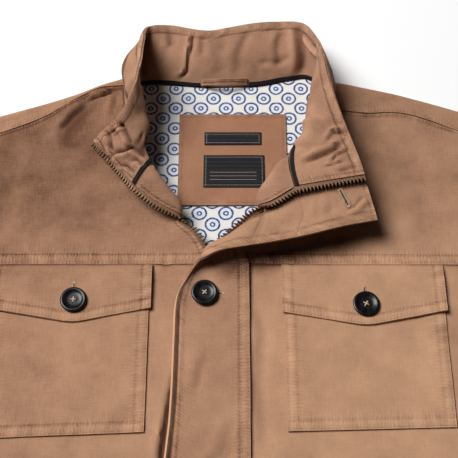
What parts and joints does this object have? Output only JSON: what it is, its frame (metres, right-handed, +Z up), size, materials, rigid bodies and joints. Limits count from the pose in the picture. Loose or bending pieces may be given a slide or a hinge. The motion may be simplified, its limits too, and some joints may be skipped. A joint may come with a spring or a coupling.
{
  "type": "parka",
  "caption": "Washed-cotton parka with a stand collar, two-way storm flap over a zip, chest flap pockets and horn buttons, laid flat on its back with the neck open.",
  "frame": {"origin": "centre of the bounding box's bottom face, on the surface the back lies on", "axes": "+Z up from the surface; +Y from the hem to the collar; +X to the viewer's right with the collar away from the viewer, which is the wearer's left"},
  "size_m": [1.2126, 0.8498, 0.0649],
  "materials": {
    "shell": "washed plain-weave cotton, tan",
    "lining": "fine cotton lining, ivory with a printed ring pattern",
    "tape": "black herringbone neck tape",
    "tape_tan": "tan woven zip tape",
    "label": "black woven satin label, blank",
    "brass": "oxidised bronze-coloured metal",
    "horn": "polished dark imitation horn"
  },
  "bodies": {
    "root": {"back": "shell", "back_lining": "lining", "collar_inner": "shell", "collar_outer": "shell", "facing_left": "shell", "facing_right": "shell", "front_left": "shell", "front_right": "shell", "hanger_loop": "shell", "label_lower": "label", "label_patch": "shell", "label_upper": "label", "neck_tape_left": "tape", "neck_tape_right": "tape", "placket_button_1": "horn", "placket_button_2": "horn", "placket_button_3": "horn", "placket_button_4": "horn", "pocket_button_left": "horn", "pocket_button_right": "horn", "pocket_flap_left": "shell", "pocket_flap_right": "shell", "pocket_left": "shell", "pocket_right": "shell", "sleeve_left": "shell", "sleeve_right": "shell", "storm_flap": "shell", "yoke_left": "shell", "yoke_right": "shell", "zip_slider": "brass", "zip_tape_left": "tape_tan", "zip_tape_right": "tape_tan", "zip_teeth_left": "brass", "zip_teeth_right": "brass"}
  },
  "joints": []
}
